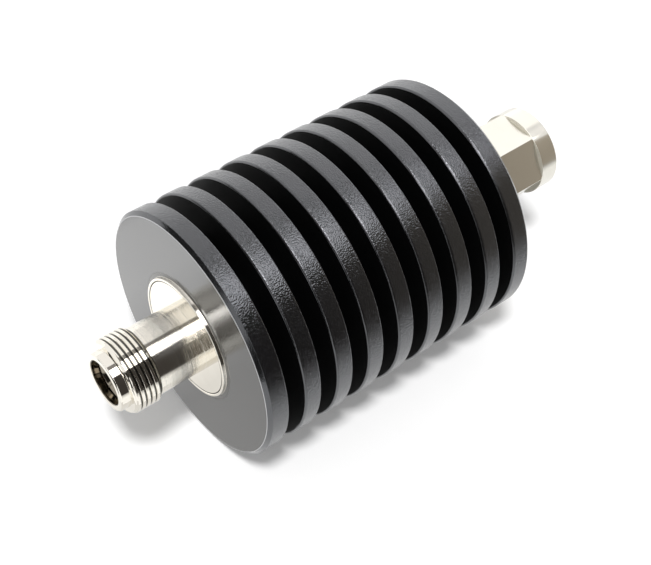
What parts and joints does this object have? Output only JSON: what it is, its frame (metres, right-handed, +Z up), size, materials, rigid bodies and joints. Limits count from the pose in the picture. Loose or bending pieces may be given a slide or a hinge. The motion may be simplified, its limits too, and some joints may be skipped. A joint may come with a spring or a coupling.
{
  "type": "coaxial attenuator",
  "caption": "Fixed coaxial attenuator: finned round heat sink with a threaded socket at one end and a plug with a spinning hexagonal coupling nut at the other.",
  "frame": {"origin": "middle of the base of the whole part's box, on the surface that the fins rest on", "axes": "+X along the line's axis, from the socket to the plug; +Z up"},
  "size_m": [0.1102, 0.053, 0.053],
  "materials": {
    "black_anodised": "bead-blasted, black anodised",
    "nickel_sleeve": "turned, bright nickel plate",
    "nickel_shell": "turned, bright nickel plate",
    "nickel_nut": "turned and milled, bright nickel plate",
    "core_metal": "milled, plain",
    "carrier_plate": "copper flange, thin nickel plate",
    "ceramic": "white ceramic",
    "ceramic_lid": "white ceramic",
    "silver_tab": "silver-plated ribbon",
    "ptfe": "white, waxy",
    "brass_bush": "turned",
    "gold_contact": "gold plate",
    "silicone": "red silicone, matte",
    "bronze_ring": "spring bronze",
    "steel_screw": "plain"
  },
  "bodies": {
    "body": {"heat_sink": "black_anodised", "core_sleeve": "nickel_sleeve", "core_base": "core_metal", "core_cover": "core_metal", "carrier_flange": "carrier_plate", "chip_substrate": "ceramic", "chip_lid": "ceramic_lid", "input_tab": "silver_tab", "output_tab": "silver_tab", "input_support_bead": "ptfe", "output_support_bead": "ptfe", "jack_body": "nickel_shell", "jack_bead": "ptfe", "jack_bush": "brass_bush", "jack_contact": "gold_contact", "plug_body": "nickel_shell", "plug_bead": "ptfe", "plug_bush": "brass_bush", "plug_pin": "gold_contact", "plug_gasket": "silicone", "carrier_screw_1": "steel_screw", "carrier_screw_2": "steel_screw", "cover_screw_1": "steel_screw", "cover_screw_2": "steel_screw", "cover_screw_3": "steel_screw", "cover_screw_4": "steel_screw"},
    "ring": {"snap_ring": "bronze_ring"},
    "nut": {"coupling_nut": "nickel_nut"}
  },
  "joints": [
    {"name": "nut_float", "type": "slide", "parent": "body", "child": "ring", "axis": [1, 0, 0], "range_m": [0, 0.001]},
    {"name": "nut_spin", "type": "hinge", "parent": "ring", "child": "nut", "pos_m": [0.04708, 0, 0.0265], "axis": [1, 0, 0], "continuous": true}
  ]
}
